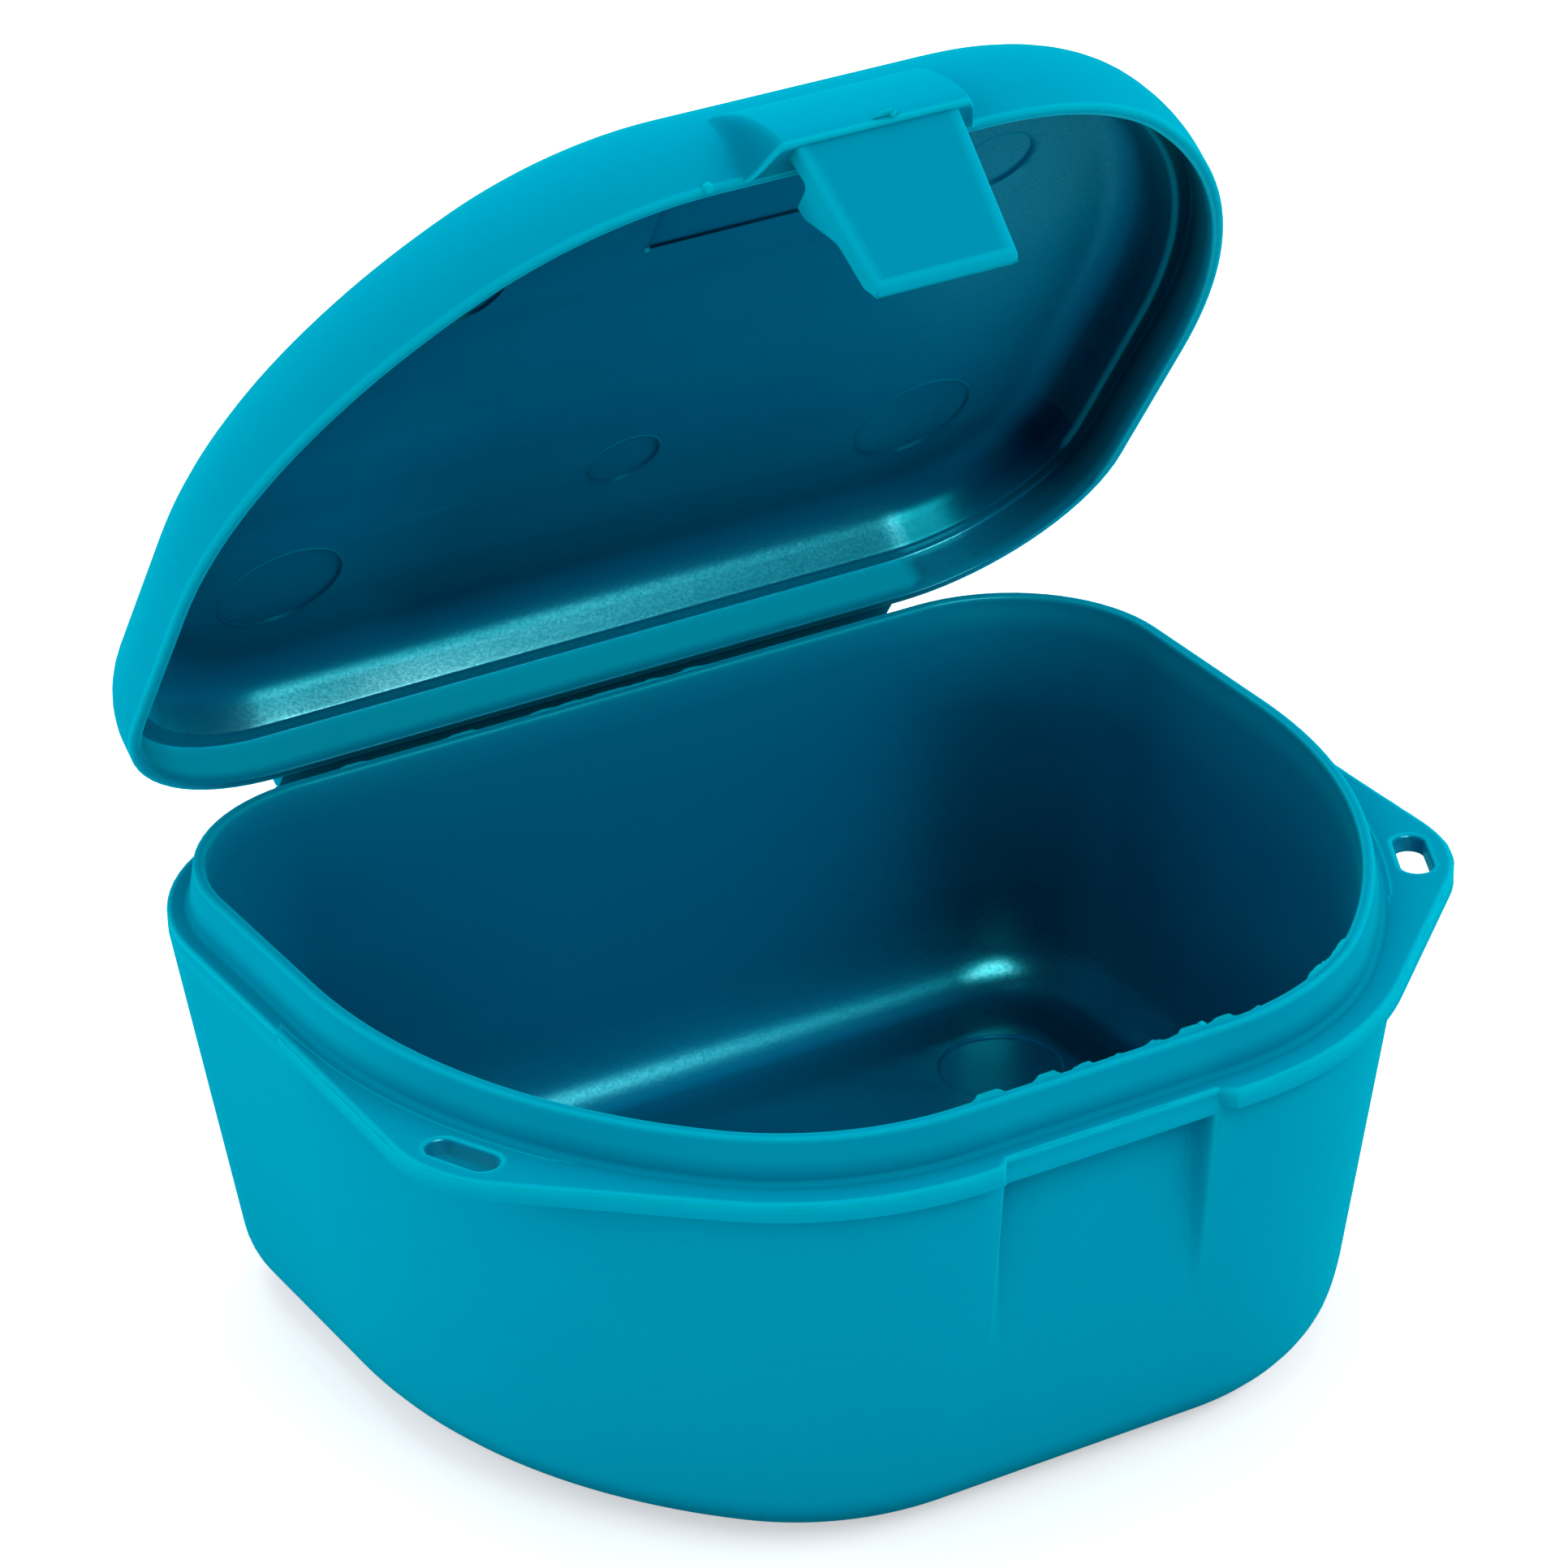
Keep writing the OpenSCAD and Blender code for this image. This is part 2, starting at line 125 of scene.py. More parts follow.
# teal polypropylene: a matt outside and a polished inside, with painted shade that makes the inside darker
# and painted light on the edges
skin = {
    "outside": (0.0, 0.335, 0.515, 1),
    # painted shade: the inside is a darker copy of the outside teal
    "inside": (0.0, 0.183, 0.365, 1),
    # painted shade: near black where the inside is most hidden
    "insideDeepShade": (0.0, 0.012, 0.044, 1),
    # painted light: a brighter teal on edges and on faces turned to the lamps
    "paintedLight": (0.0, 0.50, 0.66, 1),
    "outsideRough": 0.50,
    "insideRough": 0.30,
    "outsideGloss": 0.10,
    "insideGloss": 1.7,
    "insideClear": 0.25,
    "shine": (0.0, 0.92, 1.0, 1),
    "fuzz": (0.0, 0.80, 0.86, 1),
    # painted shade: darker teal in the outside's creases and on faces turned from the light
    "outsideShade": (0.0, 0.150, 0.270, 1),
    "creaseShadeReach": 0.004,
    "creaseShadeGain": (1.9, -0.8),  # gain, offset
    "shadeReach": 0.030,
    "shadeGain": (1.40, -0.20),  # gain, offset
    "dimShare": 0.80,
    "outsideGlow": 0.12,
    "insideGlow": 0.05,
    "sheen": 2.4,
    "coatRough": 0.22,
    "grainScale": 4300.0,
    "grainDepth": 0.16,
    "bump": (0.32, 0.00006),  # strength, distance
    "cloudScale": 60.0,
    "flowScale": (7.0, 240.0, 240.0),
    "tone": (0.36, 0.16, 0.3),  # cloud, grain and share of the soft light
    "roughSpread": (0.12, 0.10),  # cloud and grain outside
    "gleamSpread": (0.06, 0.10),  # flow and grain inside
    "shadeSpread": (0.16, 0.10),  # flow and cloud in the inside shade
    "sparkle": (1.0, 0.5),  # gain, offset
    "clearPower": 3.0,
}


def plasticLayer(base, colour, rough, bump, gloss, clear, glow):
    body = base.node("ShaderNodeBsdfPrincipled", None, Base_Color=colour, Roughness=rough, Normal=bump,
                     Coat_Weight=clear)
    fixed = {
        "Specular IOR Level": 0.0,
        "Coat Roughness": skin["coatRough"],
        "Subsurface Weight": glow,
        "Subsurface Radius": (0.1, 0.9, 1.0),
        "Subsurface Scale": 0.0014,
        "Sheen Weight": glow * skin["sheen"],
        "Sheen Roughness": 0.4,
        "Sheen Tint": skin["fuzz"],
    }
    for key, value in fixed.items():
        body.inputs[key].default_value = value
    mirror = base.node("ShaderNodeBsdfPrincipled", None, Base_Color=skin["shine"], Metallic=1.0,
                       Roughness=rough, Normal=bump)
    mirror.inputs["Specular Tint"].default_value = skin["shine"]
    edge = base.get("ShaderNodeFresnel", 0, None, IOR=1.49, Normal=bump) * gloss
    return base.get("ShaderNodeMixShader", 0, None, i0=edge.clamp(),
                    i1=Sock(base.tree, body.outputs[0]), i2=Sock(base.tree, mirror.outputs[0]))


def caseSkin(name, painted):
    mat = bpy.data.materials.new(name)
    mat.use_nodes = True
    tree = mat.node_tree
    tree.nodes.clear()
    out = tree.nodes.new("ShaderNodeOutputMaterial")
    base = Sock(tree, None)
    where = base.get("ShaderNodeTexCoord", 3)
    cloud = base.get("ShaderNodeTexNoise", 0, None, Vector=where, Scale=skin["cloudScale"], Detail=3.0)
    grain = base.get("ShaderNodeTexNoise", 0, None, Vector=where, Scale=skin["grainScale"], Detail=2.0)
    wide = base.get("ShaderNodeMapping", 0, None, Vector=where, Scale=skin["flowScale"])
    flow = base.get("ShaderNodeTexNoise", 0, None, Vector=wide, Scale=1.0, Detail=2.0)
    cloud, grain, flow = cloud - 0.5, grain - 0.5, flow - 0.5
    toneCloud, toneGrain, toneShare = skin["tone"]
    tone = (cloud * toneCloud + grain * toneGrain + 0.5).clamp()
    outside = base.get("ShaderNodeMix", 2, {"data_type": "RGBA", "blend_type": "SOFT_LIGHT"}, i0=toneShare,
                       i6=skin["outside"], i7=tone.blend((0.2, 0.2, 0.2, 1), (0.8, 0.8, 0.8, 1)))
    roughCloud, roughGrain = skin["roughSpread"]
    rough = (skin["outsideRough"] + cloud * roughCloud + grain * roughGrain).clamp()
    strength, distance = skin["bump"]
    bump = base.get("ShaderNodeBump", 0, None, Strength=strength, Distance=distance,
                    Height=grain * skin["grainDepth"])
    # painted shade: ambient occlusion darkens the outside's creases
    near = base.get("ShaderNodeAmbientOcclusion", 1, {"samples": 6}, Distance=skin["creaseShadeReach"])
    gain, offset = skin["creaseShadeGain"]
    outside = (near * gain + offset).clamp().blend(skin["outsideShade"], outside)
    if painted:
        # painted light on edges, painted shade where the dim attribute is set
        paintedLight = base.get("ShaderNodeAttribute", 2, {"attribute_name": "paintedLight"})
        dim = base.get("ShaderNodeAttribute", 2, {"attribute_name": "dim"})
        outside = paintedLight.blend(dim.blend(outside, skin["outsideShade"]), skin["paintedLight"])
    shader = plasticLayer(base, outside, rough, bump, skin["outsideGloss"], 0.0, skin["outsideGlow"])
    if painted:
        inner = base.get("ShaderNodeAttribute", 2, {"attribute_name": "inner"})
        # painted shade: the inside darkens towards near black by ambient occlusion, the dim attribute and
        # noise, with painted light on its edges
        reach = base.get("ShaderNodeAmbientOcclusion", 1, {"samples": 8}, Distance=skin["shadeReach"])
        gain, offset = skin["shadeGain"]
        shadeFlow, shadeCloud = skin["shadeSpread"]
        lit = (reach * gain + offset - dim * skin["dimShare"] + flow * shadeFlow + cloud * shadeCloud).clamp()
        inside = paintedLight.blend(lit.blend(skin["insideDeepShade"], skin["inside"]), skin["paintedLight"])
        gleamFlow, gleamGrain = skin["gleamSpread"]
        gleam = (skin["insideRough"] + flow * gleamFlow + grain * gleamGrain).clamp()
        polish = 1 - base.get("ShaderNodeAttribute", 2, {"attribute_name": "matt"})
        gain, offset = skin["sparkle"]
        polish = polish * ((grain + 0.5) * gain + offset)  # fine sparkle in the highlights
        gloss = polish * skin["insideGloss"]
        clear = base.math("POWER", polish, skin["clearPower"]) * skin["insideClear"]
        deep = plasticLayer(base, inside, gleam, bump, gloss, clear, skin["insideGlow"])
        shader = base.get("ShaderNodeMixShader", 0, None, i0=inner.clamp(), i1=shader, i2=deep)
    tree.links.new(shader.socket, out.inputs[0])
    return mat


casePlastic = caseSkin("casePlastic", True)
hingePlastic = caseSkin("hingePlastic", False)
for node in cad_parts.values():  # CAD pieces that stay in view
    for slot in node.material_slots:
        slot.material = hingePlastic
print("materials made")


# profile drawing: each corner is across, up, radius, inner (share of the polished inside with its painted
# shade), painted light (a brighter edge)
def stretchTo(bm, tip, place):
    made = bmesh.ops.extrude_vert_indiv(bm, verts=[tip])["verts"][0]
    made.co = place
    return made


def drawProfile(bm, corners, facets=5, guard=0.22):
    innerLayer = bm.verts.layers.float.get("inner") or bm.verts.layers.float.new("inner")
    paintedLightLayer = bm.verts.layers.float.get("paintedLight") or bm.verts.layers.float.new("paintedLight")
    places = [Vector((0, c[0], c[1])) for c in corners]
    tip = bm.verts.new(places[0])
    tip[innerLayer], tip[paintedLightLayer] = corners[0][3], corners[0][4]
    for i in range(1, len(corners)):
        radius, inner, paintedLight = corners[i][2:5]
        if radius and i + 1 < len(corners):
            back = (places[i - 1] - places[i]).normalized()
            ahead = (places[i + 1] - places[i]).normalized()
            half = back.angle(ahead) / 2
            reach = radius / tan(half)
            if paintedLight:  # keep the bright edge narrow
                tip = stretchTo(bm, tip, places[i] + back * (reach + guard))
                tip[innerLayer], tip[paintedLightLayer] = inner, 0
            tip = stretchTo(bm, tip, places[i] + back * reach)
            tip[innerLayer], tip[paintedLightLayer] = inner, paintedLight
            centre = places[i] + (back + ahead).normalized() * radius / sin(half)
            steps = max(facets, int(radius * 2.2))  # long arcs get more facets
            arc = bmesh.ops.spin(bm, geom=[tip], cent=centre, axis=ahead.cross(back), angle=pi - 2 * half,
                                 steps=steps)
            tip = [g for g in arc["geom_last"] if isinstance(g, bmesh.types.BMVert)][0]
            if paintedLight:
                tip = stretchTo(bm, tip, places[i] + ahead * (reach + guard))
                tip[innerLayer], tip[paintedLightLayer] = inner, 0
        else:
            tip = stretchTo(bm, tip, places[i])
            tip[innerLayer], tip[paintedLightLayer] = inner, paintedLight
    return list(bm.edges)


def vertsOf(edges):  # each once and in order, so that every run gives the same mesh
    return list(dict.fromkeys(v for e in edges for v in e.verts))


def edgesOf(verts):
    return list(dict.fromkeys(e for v in verts for e in v.link_edges))


def carry(bm, edges, shift):
    made = bmesh.ops.extrude_edge_only(bm, edges=edges)["geom"]
    verts = {g for g in made if isinstance(g, bmesh.types.BMVert)}
    bmesh.ops.translate(bm, verts=list(verts), vec=shift)
    return [g for g in made if isinstance(g, bmesh.types.BMEdge) and set(g.verts) <= verts]


def turnRound(bm, edges, centre, angle, steps):
    made = bmesh.ops.spin(bm, geom=vertsOf(edges) + edges, cent=centre, axis=(0, 0, 1), angle=angle,
                          steps=steps)
    return [g for g in made["geom_last"] if isinstance(g, bmesh.types.BMEdge)]


def roundOutline(bm, edges):
    for part in lip["backParts"]:
        edges = carry(bm, edges, (backC.x * part, 0, 0))
    edges = turnRound(bm, edges, backC, -pi / 2, lip["cornerSteps"])
    edges = carry(bm, edges, (0, sideC.y - backC.y, 0))
    edges = turnRound(bm, edges, sideC, -sideTurn, lip["sideSteps"])
    return turnRound(bm, edges, frontC, sideTurn - pi / 2, lip["frontSteps"])


def closeHalf(bm):
    bmesh.ops.mirror(bm, geom=bm.verts[:] + bm.edges[:] + bm.faces[:], merge_dist=0.001, axis="X")
    bmesh.ops.remove_doubles(bm, verts=bm.verts, dist=0.001)


# mould marks: a raised ring round a flat that stands proud or sunk
mark = {
    "segments": 44,
    "ringOut": 0.10,
    "ringTop": 0.06,
    "ringIn": 0.12,
    "flatEdge": 0.05,
    "matt": 0.9,
    "lit": 0.3,
}


def markLoop(bm, x, y, radius, level, pad=None):  # closed loop of edges: a circle, or a rectangle for a pad
    turned = Matrix.Rotation(pi / 4, 4, "Z") if pad else Matrix()
    segments = 4 if pad else mark["segments"]
    ring = bmesh.ops.create_circle(bm, segments=segments, radius=radius, matrix=turned)["verts"]
    if pad:
        bmesh.ops.scale(bm, vec=(pad[0] / radius / sqrt(2), pad[1] / radius / sqrt(2), 1), verts=ring)
    bmesh.ops.translate(bm, verts=ring, vec=(x, y, level))
    return edgesOf(ring)


def sinkMarks(bm, level, loops, depth, burr):  # flat face inside an open loop, with the marks sunk into it
    innerLayer = bm.verts.layers.float["inner"]
    outlines = [e for loop in loops for e in loop]
    for v in vertsOf(outlines):
        v[innerLayer] = 1
    rim = [e for e in bm.edges if e.is_boundary and all(abs(v.co.z - level) < 0.01 for v in e.verts)]
    bmesh.ops.triangle_fill(bm, use_beauty=True, edges=rim + outlines)
    mattLayer, paintedLightLayer = bm.verts.layers.float["matt"], bm.verts.layers.float["paintedLight"]
    rings = (
        (mark["ringOut"], -burr, mark["matt"]),
        (mark["ringTop"], 0, mark["matt"]),
        (mark["ringIn"], burr + depth, mark["matt"]),
        (mark["flatEdge"], 0, 0),
    )
    for loop in loops:
        face = bmesh.ops.contextual_create(bm, geom=loop)["faces"]
        middle = face[0].calc_center_median()
        for across, drop, matt in rings:
            bmesh.ops.inset_individual(bm, faces=face, thickness=across, depth=0)
            ring = face[0].verts[:]
            bmesh.ops.translate(bm, verts=ring, vec=(0, 0, drop))
            for v in ring:  # the edge towards the front catches light
                v[mattLayer] = matt
                v[paintedLightLayer] = mark["lit"] * (matt > 0) * max(0, (middle - v.co).normalized().y)


def finishPiece(bm, name, body, mat, place=None, sharp=35):
    bmesh.ops.remove_doubles(bm, verts=bm.verts, dist=0.0005)
    bmesh.ops.recalc_face_normals(bm, faces=bm.faces)
    if place is not None:
        bmesh.ops.transform(bm, matrix=place, verts=bm.verts)
    bmesh.ops.scale(bm, vec=(mm, mm, mm), verts=bm.verts)
    for face in bm.faces:
        face.smooth = True
    for edge in bm.edges:
        edge.smooth = len(edge.link_faces) == 2 and edge.calc_face_angle() < radians(sharp)
    mesh = bpy.data.meshes.new(name)
    bm.to_mesh(mesh)
    bm.free()
    piece = bpy.data.objects.new(name, mesh)
    bpy.context.scene.collection.objects.link(piece)
    mesh.materials.append(mat)
    weight = piece.modifiers.new("evenNormals", "WEIGHTED_NORMAL")
    weight.keep_sharp = True
    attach(piece, body)
    print("made", name, len(mesh.polygons), "faces")
    return piece


# tub: floor, wall, shelf and lip in one swept section
tub = {
    "shelf": 29.6,
    "lipTop": 32.7,
    "lipThick": 0.8,
    "lipLean": 0.5,
    "wallOut": 2.0,
    "flangeThick": 1.3,
    "draft": radians(8.8),
    "bottomRadius": 5.6,
    "wallThick": 1.9,
    "floor": 1.8,
    "floorRadius": 4.0,
    "core": -9.6,
    "catchUnder": 1.9,
    "panelSink": 2.3,
    "panelHalf": 7.2,
    "panelSoft": 1.1,
    "panelRows": (26.2, 1.5, 13),  # first height, gap, count
    "floorMark": (22.8, 16.6, 4.8),  # x, y, radius
    "markSink": (-0.15, -0.05),  # depth, burr
    "fade": ((9, 1), (24, 1), (30, 0.85), (31.6, 0.55)),  # the inside's polish and painted shade ease off below the lip
    "floorShade": 0.36,
    "cornerShade": (30.5, 6, 18, 6, 0.50),  # x, width, y, run, amount
    "rightShade": (22, 8, 0.12),  # x, run, amount
    "shadeTop": (25, 6),  # height, run
    "matt": (0.75, 8.5),  # amount, height it starts at
    "rightMatt": (0.2, 2, 12),  # amount, x, run
    "rimPaintedLight": ((29.5, 31, 0.12), (31, 32, 0.35)),  # from, to, amount
}


def makeTub():
    band = tub["shelf"] - tub["flangeThick"]
    lean = tan(tub["draft"])
    wallAt = lambda z: tub["wallOut"] - (band - z) * lean
    foot = wallAt(0)
    innerFoot = foot - tub["wallThick"]
    innerAt = lambda z: innerFoot + (-tub["lipThick"] - innerFoot) * z / tub["lipTop"]
    catch = tub["shelf"] - tub["catchUnder"]
    # painted light on the lip's and shelf's edges
    corners = [
        (tub["core"], tub["floor"], 0, 1, 0),
        (innerAt(tub["floor"]), tub["floor"], tub["floorRadius"], 1, 0),
        *[(innerAt(z), z, 0, inner, 0) for z, inner in tub["fade"]],
        (-tub["lipThick"], tub["lipTop"], 0.16, 0.25, 0.6),
        (0, tub["lipTop"], 0.2, 0, 0.5),
        (tub["lipLean"] * 0.5, tub["shelf"] + 1.6, 0, 0, 0.25),
        (tub["lipLean"], tub["shelf"], 0.45, 0, 0),
        (tub["wallOut"], tub["shelf"], 0.2, 0, 0.75),
        (tub["wallOut"], band, 0, 0, 0.3),
        (wallAt(catch), catch, 0, 0, 0),
    ]
    first, gap, count = tub["panelRows"]
    corners += [(wallAt(z), z, 0, 0, 0) for z in [catch - 0.3] + [first - gap * k for k in range(count)]]
    corners += [(foot, 0, tub["bottomRadius"], 0, 0), (tub["core"], 0, 0, 0, 0)]
    bm = bmesh.new()
    edges = drawProfile(bm, corners)
    paintedLightLayer = bm.verts.layers.float["paintedLight"]
    bmesh.ops.translate(bm, verts=bm.verts, vec=(0, halfD, 0))
    edges = roundOutline(bm, edges)
    panelY = -(halfD + tub["wallOut"] - tub["panelSink"])
    stations = [tub["panelHalf"] + tub["panelSoft"] * k / 6 for k in range(6, -1, -1)] + [3.6, 0]
    for x in stations:
        at = edges[0].verts[0].co.x
        edges = carry(bm, edges, (x - at, 0, 0))
        t = 1 - ramp(x, tub["panelHalf"], tub["panelSoft"])
        sink = t * t * (3 - 2 * t)
        for v in vertsOf(edges):
            if v.co.y < panelY and v.co.z < catch - 0.1:
                full = -(halfD + wallAt(v.co.z))
                if full < panelY:
                    v.co.y = full + (panelY - full) * sink
                    # painted light on the panel's soft edge
                    v[paintedLightLayer] = min(1, (panelY - full) * 0.5) * max(0, 1 - abs(t - 0.18) / 0.2)
    closeHalf(bm)
    innerLayer, dimLayer = bm.verts.layers.float["inner"], bm.verts.layers.float.new("dim")
    mattLayer = bm.verts.layers.float.new("matt")
    cornerX, cornerWide, cornerY, cornerRun, cornerDim = tub["cornerShade"]
    rightX, rightRun, rightDim = tub["rightShade"]
    matt, mattFrom = tub["matt"]
    rightMatt, mattX, mattRun = tub["rightMatt"]
    for v in bm.verts:
        if v[innerLayer] > 0.5:  # floor and right back corner lie in shade
            corner = exp(-((v.co.x - cornerX) / cornerWide) ** 2) * ramp(v.co.y, cornerY, cornerRun)
            low = v.co.z < tub["floor"] + 0.3
            right = ramp(v.co.x, rightX, rightRun)
            shade = max(cornerDim * corner, rightDim * right) * (1 - ramp(v.co.z, *tub["shadeTop"]))
            v[dimLayer] = tub["floorShade"] if low else shade
            v[mattLayer] = matt if low or v.co.z > mattFrom else rightMatt * ramp(v.co.x, mattX, mattRun)
            for start, end, glow in tub["rimPaintedLight"]:  # painted light on the right rim
                if start < v.co.z < end:
                    v[paintedLightLayer] = right * glow
    x, y, radius = tub["floorMark"]
    marks = [markLoop(bm, k * x, y, radius, tub["floor"]) for k in (-1, 1)]
    sinkMarks(bm, tub["floor"], marks, *tub["markSink"])
    bmesh.ops.holes_fill(bm, edges=[e for e in bm.edges if e.is_boundary], sides=0)
    piece = finishPiece(bm, "tubBody", "base", casePlastic)
    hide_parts("base_tub")


# front flange: plate with an ear and a lanyard slot on each side
flange = {
    "out": 2.95,
    "lap": 0.95,
    "recessHalf": 8.1,
    "slant": 0.8,
    "earRadius": 10.0,
    "earWeb": 1.6,
    "slotGap": 0.25,
    "slotLong": 5.4,
    "slotWide": 2.2,
    "slotAt": 0.545,
    "edge": 0.28,
    "proud": 0.012,
    "lapRun": 2.4,
    "flatInset": 0.2,
    "lit": 0.7,
    "slotShade": 0.55,
}


def touch(c1, r1, c2, r2, side):
    d = c2 - c1
    return atan2(d.y, d.x) + side * acos((r1 - r2) / d.length)


def ray(angle):
    return Vector((cos(angle), sin(angle), 0))


def arcTo(bm, tip, centre, angle, steps):
    made = bmesh.ops.spin(bm, geom=[tip], cent=centre, axis=(0, 0, 1), angle=angle, steps=steps)
    return [g for g in made["geom_last"] if isinstance(g, bmesh.types.BMVert)][0]


def flangeEdge(bm, steps):  # outer edge of the right flange, from the recess round the ear
    slotTurn = -flange["slotAt"] * sideTurn
    slotR = lip["sideRadius"] + tub["wallOut"] + flange["slotGap"] + flange["slotWide"] / 2
    earC = sideC + ray(slotTurn) * (slotR + flange["slotWide"] / 2 + flange["earWeb"] - flange["earRadius"])
    frontR, sideR = lip["frontRadius"] + flange["out"], lip["sideRadius"] + tub["wallOut"]
    earSide = touch(sideC, sideR, earC, flange["earRadius"], 1)
    earFront = touch(frontC, frontR, earC, flange["earRadius"], -1)
    first = bm.verts.new((flange["recessHalf"] + flange["slant"], -halfD - flange["out"], 0))
    tip = stretchTo(bm, first, Vector((frontC.x, -halfD - flange["out"], 0)))
    tip = arcTo(bm, tip, frontC, earFront + pi / 2, steps)
    tip = stretchTo(bm, tip, earC + ray(earFront) * flange["earRadius"])
    tip = arcTo(bm, tip, earC, earSide - earFront, steps)
    tip = stretchTo(bm, tip, sideC + ray(earSide) * sideR)
    return first, tip, sideC + ray(slotTurn) * slotR, slotTurn


def makeFlange(name, node, side):
    bm = bmesh.new()
    innerLayer = bm.verts.layers.float.new("inner")
    paintedLightLayer = bm.verts.layers.float.new("paintedLight")
    top = tub["shelf"] + flange["proud"]
    sideR = lip["sideRadius"] + tub["wallOut"]
    first, tip, slotC, slotTurn = flangeEdge(bm, 18)
    lap = flange["lap"]
    tip = stretchTo(bm, tip, Vector((halfW + lap, sideC.y + flange["lapRun"], 0)))
    tip = stretchTo(bm, tip, Vector((halfW + lap, sideC.y, 0)))
    tip = arcTo(bm, tip, sideC, -sideTurn, 20)
    tip = arcTo(bm, tip, frontC, sideTurn - pi / 2, 18)
    tip = stretchTo(bm, tip, Vector((flange["recessHalf"], -halfD - lap, 0)))
    tip = stretchTo(bm, tip, Vector((flange["recessHalf"], -halfD - tub["wallOut"], 0)))
    bm.edges.new((tip, first))
    outer = list(bm.edges)
    slot = bmesh.ops.create_circle(bm, segments=28, radius=flange["slotWide"] / 2)["verts"]
    for v in slot:
        v.co.y += (flange["slotLong"] - flange["slotWide"]) / 2 * (1 if v.co.y > 1e-4 else -1)
    slotPlace = Matrix.Translation(slotC) @ Matrix.Rotation(slotTurn, 4, "Z")
    bmesh.ops.transform(bm, matrix=slotPlace, verts=slot)
    bmesh.ops.triangle_fill(bm, use_beauty=True, edges=outer + edgesOf(slot))
    bmesh.ops.recalc_face_normals(bm, faces=bm.faces)
    bmesh.ops.translate(bm, verts=bm.verts, vec=(0, 0, top))
    lifted = bmesh.ops.extrude_face_region(bm, geom=bm.faces[:])["geom"]
    bmesh.ops.translate(bm, verts=[g for g in lifted if isinstance(g, bmesh.types.BMVert)],
                        vec=(0, 0, -tub["flangeThick"]))
    bmesh.ops.recalc_face_normals(bm, faces=bm.faces)

    def shown(v):
        return (v.co.xy - sideC.xy).length > sideR + 0.1 or v.co.y < -halfD - tub["wallOut"] + 0.02 or (
            (v.co.xy - frontC.xy).length > lip["frontRadius"] + tub["wallOut"] + 0.1 and v.co.x > frontC.x
        )

    rim = [e for e in bm.edges if len(e.link_faces) == 2 and e.calc_face_angle() > radians(60)
           and all(abs(v.co.z - top) < 0.01 and shown(v) for v in e.verts)]
    bmesh.ops.bevel(bm, geom=rim, offset=flange["edge"], segments=3, profile=0.5, affect="EDGES", material=-1,
                    clamp_overlap=True)
    bmesh.ops.recalc_face_normals(bm, faces=bm.faces)
    flat = [f for f in bm.faces if f.normal.z > 0.99]
    bmesh.ops.inset_region(bm, faces=flat, thickness=flange["flatInset"], use_even_offset=True)
    middle = {v for f in flat for v in f.verts}
    for v in bm.verts:
        v[innerLayer] = 0
        v[paintedLightLayer] = 0 if v in middle or v.co.z < top - 0.5 or not shown(v) else flange["lit"]
        across, along = (slotPlace.inverted() @ v.co).xy
        inSlot = abs(across) < flange["slotWide"] / 2 + 0.05 and abs(along) < flange["slotLong"] / 2 + 0.05
        if inSlot and v.co.z < top - 0.05:
            v[innerLayer], v[paintedLightLayer] = flange["slotShade"], 0
    if side < 0:
        bmesh.ops.scale(bm, vec=(-1, 1, 1), verts=bm.verts)
    piece = finishPiece(bm, name, "base", casePlastic)
    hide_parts(node)


# lid: rim, step and dome in one swept section, drawn closed and swung open
lid = {
    "rim": 29.85,
    "out": 1.65,
    "mouth": 0.75,
    "step": 33.0,
    "stepIn": -0.6,
    "innerTop": 37.2,
    "innerRadius": 3.4,
    "innerLean": 1.1,
    "top": 38.8,
    "domeRadius": 7.35,
    "core": -6.6,
    "innerCore": -5.2,
    "markRadius": 4.8,
    "frontMark": (0.83, 10.9, 3.4),  # share of the side's turn, distance in, radius
    "gate": (18.0, 3.0),  # distance from the back, radius
    "pad": (13.0, 10.0, 7.2),  # wide, deep, distance from the front
    "markSink": (0.15, 0.06),  # depth, burr
    "mouthLight": (4, 7, 27, 0.95, 0.5, 0.97),  # start, run, x limit, painted light, dim, share
    "awayX": (16, 12),  # start, run
    "awayY": (4, 7),  # start, run
    "awayDepth": (1.5, 1.6, 0.7),  # run below the flat, run above the rim, matt
    "awayPaintedLight": (0.2, 1.1, 0.5, 0.35),  # from, to, amount, fall
    "shineUp": (34.0, 1.2),  # start, run
    "shineLeft": (-8, 10),  # start, run
    "shineRight": (0, 10),  # start, run
    "shineEnd": (26.4, 1.2),  # start, run
    "shine": (0.3, 1.0, 0.1, 0.6),  # matt high up, shine low down, matt at the right, matt at its end
    "shadeLines": ((-24, -12, 0, 12, 24), (-6, 4, 14)),  # x lines, y lines
    "fade": 1.7,
    "flatShade": (0.44, -0.2, 24, -0.3, -13),  # amount, fall, run, left change, left x
    "flatMatt": (0.85, -0.65, 12),  # amount, fall, run
    "flatLow": (-6, 20),  # start, run
}


